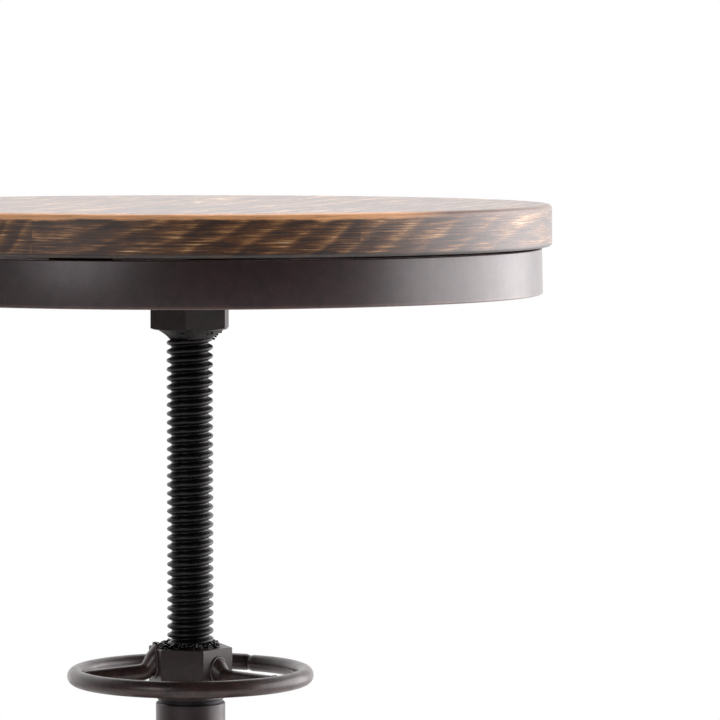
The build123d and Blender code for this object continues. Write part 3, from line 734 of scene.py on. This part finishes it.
class STOOL_OT_seat_frame(bpy.types.Operator):
    """Finish the bars, plate, nut and screws under the board, and weld the nut to the lead screw"""

    bl_idname = "stool.seat_frame"
    bl_label = "Seat frame"

    def execute(self, context):
        colours = context.scene.stool_colours
        # a thin dark coat with little glaze, so that the nut's flats stay nearly black
        coat = powder_coat(
            "antique_powder_coat_seat_frame", linear("#160e0f"), linear("#271b1c"),
            rough=(0.44, 0.56), glaze=0.08)
        coat_nodes(coat, "seat_nut")
        # dull primer that reflects next to nothing, in a near-black tone that is painted shade, so that
        # the gap under the board stays dark
        primer_and_painted_shade = fine_finish(
            "matt_primed_bar_steel_painted_shade", "#161111", "#231b1b", patch=9, rough=(0.85, 0.95), grain=0.7,
            relief=0.05, specular_ior_level=0.1)
        coat_nodes(primer_and_painted_shade, "seat_plate", "seat_bar_long", "seat_bar_short_back", "seat_bar_short_front")
        # the coat over a weld: lumpier than on the bars, with broken highlights
        weld = powder_coat(
            "powder_coated_weld", colours.coat, linear("#34292a"), rough=(0.4, 0.54), peel=0.12,
            glaze=0.1)
        coat_nodes(weld, "hoop_welds", "nut_plate_weld")
        # bright blue-white zinc with a soft metallic gleam
        zinc = fine_finish(
            "zinc_plated_screw_steel", "#8d8f92", "#b9bcc0", patch=3, rough=(0.25, 0.42), grain=0.4,
            relief=0.02, metallic=1.0)
        coat_nodes(zinc, "board_screws")
        # an uncoated weld, black with smoke and flux and almost without gloss
        sooty = powder_coat(
            "sooty_arc_welded_steel", linear("#0d0b0b"), linear("#1d1a19"), speck="#3b3a33",
            rough=(0.56, 0.7), peel=0.2, glaze=0.0)
        make_piece(
            "nut_screw_weld_bead", joined(nut_weld_surfaces()), sooty, "seat",
            ["nut_screw_weld"], sharp=60)
        return {"FINISHED"}


def thread_surface(sizes, start_z, end_z):
    """The lead screw's right-hand helical thread, cut level at both ends."""
    # one pitch of the rounded profile: share of the pitch, share of the depth
    section = [
        (0.0, 0.0), (0.06, 0.03), (0.12, 0.14), (0.18, 0.35), (0.24, 0.60), (0.30, 0.80),
        (0.38, 0.94), (0.50, 1.0), (0.62, 0.94), (0.70, 0.80), (0.76, 0.60), (0.82, 0.35),
        (0.88, 0.14), (0.94, 0.03)]
    pitch = sizes.thread_pitch
    root_r = SCREW_R - sizes.thread_depth
    nick_depth, nick_width = 0.1 * MM, 3 * MM
    segments = 56
    turns = ceil((end_z - start_z) / pitch) + 2
    rows = turns * len(section)
    points = []
    for step in range(segments):
        angle = tau * step / segments
        for turn in range(turns):
            for along, depth in section:
                z = start_z + (turn - 1 + along + step / segments) * pitch
                r = root_r + sizes.thread_depth * depth
                nick = noise.noise(Vector((r * cos(angle), r * sin(angle), z)) / nick_width)
                r -= nick_depth * max(0, nick) * depth
                points.append((r * cos(angle), r * sin(angle), z))
    faces = []
    for step in range(segments):
        ahead = (step + 1) % segments
        lift = 0 if ahead else len(section)  # the last column meets the first a turn lower
        for row in range(rows - 1 - lift):
            a = step * rows + row
            b = ahead * rows + row + lift
            faces.append((a, b, b + 1, a + 1))
    thread = cut_away((points, faces), Vector((0, 0, end_z)), Vector((0, 0, 1)))
    return cut_away(thread, Vector((0, 0, start_z)), Vector((0, 0, -1)))


class STOOL_OT_lead_screw(bpy.types.Operator):
    """Make the lead screw with its true helical thread, and finish its bushes and stop"""

    bl_idname = "stool.lead_screw"
    bl_label = "Lead screw"

    def execute(self, context):
        sizes = context.scene.stool_sizes
        low = SCREW_LOW.z
        start_z = low + sizes.spigot_length
        end_z = NUT_LOW.z - 0.1 * MM
        shank_r = 10 * MM
        spigot_r = 7 * MM
        lead_in = 0.6 * MM
        bolt_hole_r, bolt_hole_depth = 4.1 * MM, 15 * MM
        thread = thread_surface(sizes, start_z, end_z)
        shank_profile = [(shank_r, end_z), (shank_r, NUT_HIGH.z)]
        shank = skin(turned(shank_profile, segments=64), around=False, along=True)
        spigot_profile = [
            (bolt_hole_r, low + bolt_hole_depth), (bolt_hole_r, low), (spigot_r - lead_in, low),
            (spigot_r, low + lead_in), (spigot_r, start_z)]
        spigot = skin(turned(spigot_profile, segments=64), around=False, along=True)
        steel = blackened_steel(context.scene.stool_colours)
        make_piece(
            "lead_screw_threaded", joined([thread, shank, spigot]), steel, "seat",
            ["lead_screw"], sharp=50)

        # blue-white zinc, a little duller than the board's screws
        zinc = fine_finish(
            "zinc_plated_bolt_steel", "#84878b", "#b3b6ba", patch=3, rough=(0.25, 0.42), grain=0.4,
            relief=0.02, metallic=1.0)
        coat_nodes(zinc, "stop_washer", "stop_bolt")
        # waxy off-white nylon that light enters a little, with fine level tool marks
        nylon = fine_finish(
            "turned_nylon", "#d8d3c4", "#e6e1d3", patch=5, rough=(0.38, 0.5), grain=0.25,
            relief=0.03, stretch=(1, 1, 8), subsurface_weight=0.15, subsurface_scale=1.5 * MM)
        coat_nodes(nylon, "guide_bush")
        # warm brown-gold bronze, bright along its level tool marks
        bronze = fine_finish(
            "machined_bronze", "#8a6538", "#b08850", patch=6, rough=(0.24, 0.38), grain=0.3,
            relief=0.02, stretch=(1, 1, 6), metallic=1.0)
        coat_nodes(bronze, "column_bush")
        return {"FINISHED"}


def ring_rod(sizes):
    """The handwheel's ring: one rod rolled round, whose two ends meet in an open butt joint."""
    opening = 0.5 * MM / WHEEL_R
    steps = 220
    sprung_share = 14  # the last fourteenth at each end springs off the circle
    path = []
    for step in range(steps + 1):
        share = step / steps
        angle = sizes.ring_joint_angle + opening / 2 + (tau - opening) * share
        spring = max(0, 1 - share * sprung_share) - max(0, 1 - (1 - share) * sprung_share)
        radius = WHEEL_R - sizes.ring_joint_step * 0.5 * spring
        rise = sizes.ring_joint_step * 0.4 * spring
        path.append(Vector((radius * cos(angle), radius * sin(angle), WHEEL_Z + rise)))
    radii = [WHEEL_ROD_R] * len(path)
    radii[0] = radii[-1] = WHEEL_ROD_R - 0.5 * MM
    radii[1] = radii[-2] = WHEEL_ROD_R - 0.02 * MM
    return skin(rod_rings(path, radii, sides=36, centre=Vector((0, 0, WHEEL_Z))))


def spoke_line(angle, root_rise, kink_rise, sizes):
    """Centre line of one bent spoke, from inside the hub to inside the ring."""
    away = Vector((cos(angle), sin(angle), 0))
    middle = Vector((0, 0, WHEEL_Z))
    root = Vector((sizes.spoke_root_radius, root_rise))
    kink = Vector((sizes.spoke_kink_radius, kink_rise))
    end = Vector((WHEEL_R - 2 * MM, 0))
    bend = 3.2 * MM  # length of the bend on each side of the kink
    inner_steps, bend_steps, outer_steps = 5, 12, 16
    enter = kink + (root - kink).normalized() * bend
    leave = kink + (end - kink).normalized() * bend
    line = [root.lerp(enter, step / inner_steps) for step in range(inner_steps)]
    for step in range(bend_steps + 1):
        t = step / bend_steps
        line.append(enter * (1 - t) ** 2 + kink * 2 * t * (1 - t) + leave * t * t)
    line += [leave.lerp(end, step / outer_steps) for step in range(1, outer_steps + 1)]
    return [away * point.x + middle + Vector((0, 0, point.y)) for point in line]


def hub_bead(angle, root_rise, kink_rise, sizes, number):
    """The bead round the foot of a spoke on the hub's face, kept below the hub's top."""
    away = Vector((cos(angle), sin(angle), 0))
    aside = Vector((-sin(angle), cos(angle), 0))
    slope = (root_rise - kink_rise) / (sizes.spoke_kink_radius - sizes.spoke_root_radius)
    foot_rise = kink_rise + slope * (sizes.spoke_kink_radius - sizes.hub_flat)
    centre = away * (sizes.hub_flat + 0.1 * MM) + Vector((0, 0, WHEEL_Z + foot_rise))
    half_width = 1.24 * WHEEL_ROD_R
    half_height = 1.2 * WHEEL_ROD_R * hypot(1, slope)
    highest = HUB_TOP - 1.0 * MM
    steps = 96
    path = []
    for step in range(steps):
        turn = tau * step / steps
        stray = 1.03 + 0.07 * noise.noise(Vector((cos(turn), sin(turn), number * 5.0)))
        point = centre + aside * (half_width * stray * cos(turn))
        point.z = min(point.z + half_height * stray * sin(turn), highest)
        path.append(point)
    return weld_bead(path, 0.75 * MM, sizes, seed=number * 7.3, centre=centre)


def ring_bead(angle, foot_z, sizes, number):
    """The saddle-shaped bead where a spoke meets the inner side of the ring."""
    away = Vector((cos(angle), sin(angle), 0))
    aside = Vector((-sin(angle), cos(angle), 0))
    reach = WHEEL_ROD_R + 0.25 * MM
    tallest = 0.74 * reach
    steps = 80
    path = []
    for step in range(steps):
        turn = tau * step / steps
        y = reach * cos(turn)
        z = max(-tallest, min(tallest, reach * sin(turn)))
        back = (WHEEL_ROD_R ** 2 - z ** 2) ** 0.5
        path.append(away * (WHEEL_R - back - 0.2 * MM) + aside * y + Vector((0, 0, foot_z + z)))
    centre = away * (WHEEL_R - WHEEL_ROD_R) + Vector((0, 0, foot_z))
    return weld_bead(path, 1.0 * MM, sizes, seed=number * 4.1 + 2, centre=centre)


class STOOL_OT_handwheel(bpy.types.Operator):
    """Make the handwheel's butt-jointed ring, bent spokes and weld beads, and finish its hub"""

    bl_idname = "stool.handwheel"
    bl_label = "Handwheel"

    def execute(self, context):
        sizes = context.scene.stool_sizes
        colours = context.scene.stool_colours
        # dark red-brown with little glaze, so that each of the hub's flats has one even tone
        hub_coat = powder_coat(
            "antique_powder_coat_hub", linear("#1d1112"), linear("#2f1f20"), rough=(0.36, 0.5),
            peel=0.08, glaze=0.1)
        coat_nodes(hub_coat, "wheel_hub")
        # the glossiest and lightest brown, rubbed by hands, with a long highlight along the rod
        rod_coat = powder_coat(
            "antique_powder_coat_rod", linear("#241918"), linear("#412f2d"), speck="#6a4a42",
            rough=(0.28, 0.42), peel=0.07)
        # the coat over the wheel's welds: broken highlights on every ripple
        weld = powder_coat(
            "powder_coated_wheel_weld", colours.coat, linear("#2e2524"), rough=(0.4, 0.54), peel=0.1)
        # dark grey phosphate, even and a little metallic
        spring = fine_finish(
            "phosphated_spring_steel", "#232325", "#35363a", patch=3, rough=(0.35, 0.5), grain=0.3,
            relief=0.02, metallic=0.9)
        coat_nodes(spring, "hub_circlip", "thrust_washer")
        make_piece(
            "wheel_ring_rolled", ring_rod(sizes), rod_coat, "handwheel",
            ["wheel_ring"], sharp=50)

        hub_beads = []
        ring_beads = []
        swelling = 0.3  # share of its radius that the weld adds to a spoke at the hub
        for number, node in enumerate(SPOKE_NODES):
            low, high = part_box(node)
            angle = atan2(low.y + high.y, low.x + high.x)
            root_rise = sizes.spoke_roots[number]
            kink_rise = sizes.spoke_kinks[number]
            line = spoke_line(angle, root_rise, kink_rise, sizes)
            radii = []
            for point in line:
                near = 1 - (hypot(point.x, point.y) - sizes.hub_flat) / sizes.spoke_flare
                radii.append(WHEEL_ROD_R * (1 + swelling * min(1.0, max(0.0, near)) ** 2))
            spoke = skin(rod_rings(line, radii, sides=32))
            make_piece(
                node + "_bent", spoke, rod_coat, "handwheel", [node], sharp=50)
            hub_beads.append(hub_bead(angle, root_rise, kink_rise, sizes, number))
            ring_beads.append(ring_bead(angle, line[-1].z, sizes, number))
        make_piece(
            "spoke_hub_weld_beads", joined(hub_beads), weld, "handwheel",
            ["spoke_hub_welds"], sharp=60)
        make_piece(
            "spoke_ring_weld_beads", joined(ring_beads), weld, "handwheel",
            ["spoke_ring_welds"], sharp=60)
        return {"FINISHED"}


def swarf_crumbs(count, dice):
    """Crumbs heaped against the screw on the hub, which lie wider on the -X side."""
    nearest, width, heap = 0.6, 5.6, 2.0  # of the ring that the crumbs lie in, in millimetres
    crumbs = []
    for n in range(count):
        angle = dice.uniform(0, tau)
        spread = 0.35 + 0.325 * (1 - cos(angle))  # a third of the width at +X, all of it at -X
        out = dice.random() ** 1.5 * spread
        radius = SCREW_R + THREAD_CLEARANCE + (nearest + out * width) * MM
        size = dice.uniform(0.4, 1.15) * MM * (1.1 - 0.45 * out)
        height = HUB_TOP + size * 0.4 + dice.random() * heap * MM * (1 - out) ** 2
        place = Vector((radius * cos(angle), radius * sin(angle), height))
        crumbs.append(lump(place, size, seed=n * 2.3, flat=dice.uniform(0.5, 1.0)))
    return crumbs


def swarf_curls(count, dice):
    """Short coiled chips round the screw, the first few of them out by the hub's edge."""
    edge_curls = 4
    edge_r = 17.0 * MM
    thickness = 0.34 * MM
    coils, height = 1.6, 2.0 * MM
    steps = 26
    curls = []
    for n in range(count):
        if n < edge_curls:
            angle = radians(172 + 6 * n)
            radius = edge_r
        else:
            angle = radians(dice.uniform(120, 310))
            radius = SCREW_R + THREAD_CLEARANCE + dice.uniform(0.8, 4.2) * MM
        rise = dice.uniform(0.5, 1.5) * MM
        place = Vector((radius * cos(angle), radius * sin(angle), HUB_TOP + rise))
        lean = Quaternion((dice.uniform(-1, 1), dice.uniform(-1, 1), 0.2), dice.uniform(0.4, 1.5))
        curl_r = dice.uniform(0.7, 1.3) * MM
        path = []
        radii = []
        for step in range(steps):
            turn = tau * coils * step / steps
            local = Vector((curl_r * cos(turn), curl_r * sin(turn), (step / steps - 0.5) * height))
            path.append(place + lean @ local)
            radii.append(thickness * (0.4 + 0.6 * sin(pi * (step + 0.5) / steps)))
        curls.append(skin(rod_rings(path, radii, sides=6)))
    return curls


class STOOL_OT_thread_swarf(bpy.types.Operator):
    """Scatter the oily crumbs and curls that the thread leaves on the hub"""

    bl_idname = "stool.thread_swarf"
    bl_label = "Thread swarf"

    def execute(self, context):
        # black oily crumbs, each with a small wet glint
        swarf = fine_finish(
            "oily_steel_swarf", "#0b0a0a", "#1d1b1b", patch=0.8, rough=(0.15, 0.4), grain=0.5,
            relief=0.1, metallic=0.6, coat_weight=0.4)
        dice = random.Random(23)
        surfaces = swarf_crumbs(context.scene.stool_sizes.swarf_count, dice)
        surfaces += swarf_curls(count=30, dice=dice)
        make_piece(
            "thread_swarf", joined(surfaces), swarf, "handwheel", sharp=60)
        return {"FINISHED"}


class STOOL_OT_base(bpy.types.Operator):
    """Finish the column, legs, struts, footrest and feet"""

    bl_idname = "stool.base"
    bl_label = "Base"

    def execute(self, context):
        colours = context.scene.stool_colours
        numbers = (1, 2, 3, 4)
        # cloudy satin brown, with a dark line painted round the column just under its mouth: painted
        # shade
        column = powder_coat(
            "antique_powder_coat_column", colours.coat, colours.coat_light,
            painted_light_bands=[(COLUMN_TOP - 1.2 * MM, 0.9 * MM, "#171212")])
        coat_nodes(column, "column_tube", "leg_collar")
        # the same brown, a little glossier where shoes and hands rub it
        legs = powder_coat(
            "antique_powder_coat_base", colours.coat, colours.coat_light, rough=(0.34, 0.5))
        names = [f"{kind}_{n}" for kind in ("leg", "strut") for n in numbers]
        coat_nodes(legs, "footrest_ring", *names)
        # the coat over the frame's welds, a shade lighter and lumpier than the tubes
        weld = powder_coat(
            "powder_coated_base_weld", colours.coat, linear("#463836"), rough=(0.3, 0.45), peel=0.15)
        coat_nodes(weld, "leg_welds", "strut_welds", "footrest_welds")
        # even satin black with the fine spark-eroded texture of a mould
        plastic = fine_finish(
            "moulded_black_plastic", "#121213", "#19191b", patch=12, rough=(0.42, 0.52), grain=0.35,
            relief=0.03)
        coat_nodes(plastic, "column_end_cap")
        # dull charcoal black, dusty rather than glossy
        rubber = fine_finish(
            "moulded_rubber", "#151514", "#1f1e1d", patch=8, rough=(0.6, 0.75), grain=0.6,
            relief=0.06)
        coat_nodes(rubber, *[f"foot_cap_{n}" for n in numbers])
        return {"FINISHED"}


class STOOL_OT_stage(bpy.types.Operator):
    """Set the floor, the studio light and the camera"""

    bl_idname = "stool.stage"
    bl_label = "Studio"

    def execute(self, context):
        scene = context.scene
        scene.view_settings.view_transform = "Standard"

        floor_r, count = 2.5, 128
        rim = [
            (floor_r * cos(tau * n / count), floor_r * sin(tau * n / count), 0) for n in range(count)]
        mesh = bpy.data.meshes.new("studio_floor")
        mesh.from_pydata(rim, [], [tuple(range(count))])
        # pale matt paint, with barely visible patches and no reflections
        paint = fine_finish(
            "matt_floor_paint", "#e9e8e6", "#efeeec", patch=120, rough=(0.75, 0.85), grain=3,
            relief=0.05)
        mesh.materials.append(paint)
        floor = bpy.data.objects.new("studio_floor", mesh)
        scene.collection.objects.link(floor)

        # a room that is dark behind the camera and bright behind the stool, on a white backdrop
        world = bpy.data.worlds.new("studio_room")
        scene.world = world
        world.use_nodes = True
        tree = world.node_tree
        way = add_node(tree, "ShaderNodeTexCoord").outputs["Generated"]
        depth = add_node(tree, "ShaderNodeSeparateXYZ", {0: way}).outputs["Y"]
        ahead = add_node(tree, "ShaderNodeMapRange", {
            "Value": depth, "From Min": -1.0, "From Max": 1.0}).outputs[0]
        room = add_node(tree, "ShaderNodeValToRGB", {"Fac": ahead}, stops=[
            (0.0, (0.03, 0.03, 0.03, 1)), (0.35, (0.07, 0.07, 0.07, 1)),
            (0.6, (0.55, 0.53, 0.535, 1)), (0.8, (1.3, 1.26, 1.265, 1))]).outputs["Color"]
        seen = add_node(tree, "ShaderNodeLightPath").outputs["Is Camera Ray"]
        shown = add_node(tree, "ShaderNodeMix", {
            0: seen, 6: room, 7: (1, 1, 1, 1)}, data_type="RGBA").outputs[2]
        tree.links.new(shown, tree.nodes["Background"].inputs["Color"])

        # name, place, width, height, power in watts
        target = Vector((0, 0, BOARD_BOTTOM))
        softboxes = [
            ("overhead_softbox", (0.2, 0.3, 2.7), 2.2, 2.2, 36),
            ("front_left_softbox", (-1.5, -2.1, 1.25), 1.0, 1.2, 11),
            ("right_softbox", (2.15, 0.45, 0.75), 2.9, 1.9, 60),
        ]
        for name, place, width, height, power in softboxes:
            lamp = bpy.data.lights.new(name, "AREA")
            lamp.shape = "RECTANGLE"
            lamp.size = width
            lamp.size_y = height
            lamp.energy = power
            lamp.color = (1.0, 0.955, 0.965)
            box = bpy.data.objects.new(name, lamp)
            box.location = place
            box.rotation_euler = (target - Vector(place)).to_track_quat("-Z", "Y").to_euler()
            box.visible_camera = False
            scene.collection.objects.link(box)

        # a long lens a little above the board, which looks slightly down and to the right
        distance, rise = 2.206, 56.7 * MM
        look_down, look_right = radians(3.4325), radians(2.1376)
        camera = bpy.data.cameras.new("studio_camera")
        camera.sensor_width = 36
        camera.lens = 228.4
        camera.clip_end = 50
        eye = bpy.data.objects.new("studio_camera", camera)
        eye.location = (0, -distance, BOARD_TOP + rise)
        eye.rotation_euler = (pi / 2 - look_down, 0, -look_right)
        scene.collection.objects.link(eye)
        scene.camera = eye
        return {"FINISHED"}


class STOOL_PT_panel(bpy.types.Panel):
    """The stool's sizes, colours and pieces"""

    bl_idname = "STOOL_PT_panel"
    bl_label = "Swivel stool"
    bl_space_type = "VIEW_3D"
    bl_region_type = "UI"
    bl_category = "Stool"

    def draw(self, context):
        for group in (context.scene.stool_sizes, context.scene.stool_colours):
            for key in group.__annotations__:
                self.layout.prop(group, key)
        for maker in MAKERS:
            self.layout.operator(maker.bl_idname)


MAKERS = (
    STOOL_OT_stage,
    STOOL_OT_seat_board,
    STOOL_OT_seat_hoop,
    STOOL_OT_seat_frame,
    STOOL_OT_lead_screw,
    STOOL_OT_handwheel,
    STOOL_OT_thread_swarf,
    STOOL_OT_base,
)
CLASSES = (StoolSizes, StoolColours, *MAKERS, STOOL_PT_panel)


def register():
    for cls in CLASSES:
        bpy.utils.register_class(cls)
    bpy.types.Scene.stool_sizes = bpy.props.PointerProperty(type=StoolSizes)
    bpy.types.Scene.stool_colours = bpy.props.PointerProperty(type=StoolColours)


def unregister():
    del bpy.types.Scene.stool_colours
    del bpy.types.Scene.stool_sizes
    for cls in reversed(CLASSES):
        bpy.utils.unregister_class(cls)


def main():
    """Dress the stool."""
    register()
    for maker in MAKERS:
        group, operator = maker.bl_idname.split(".")
        getattr(getattr(bpy.ops, group), operator)()


if __name__ == "__main__":
    main()
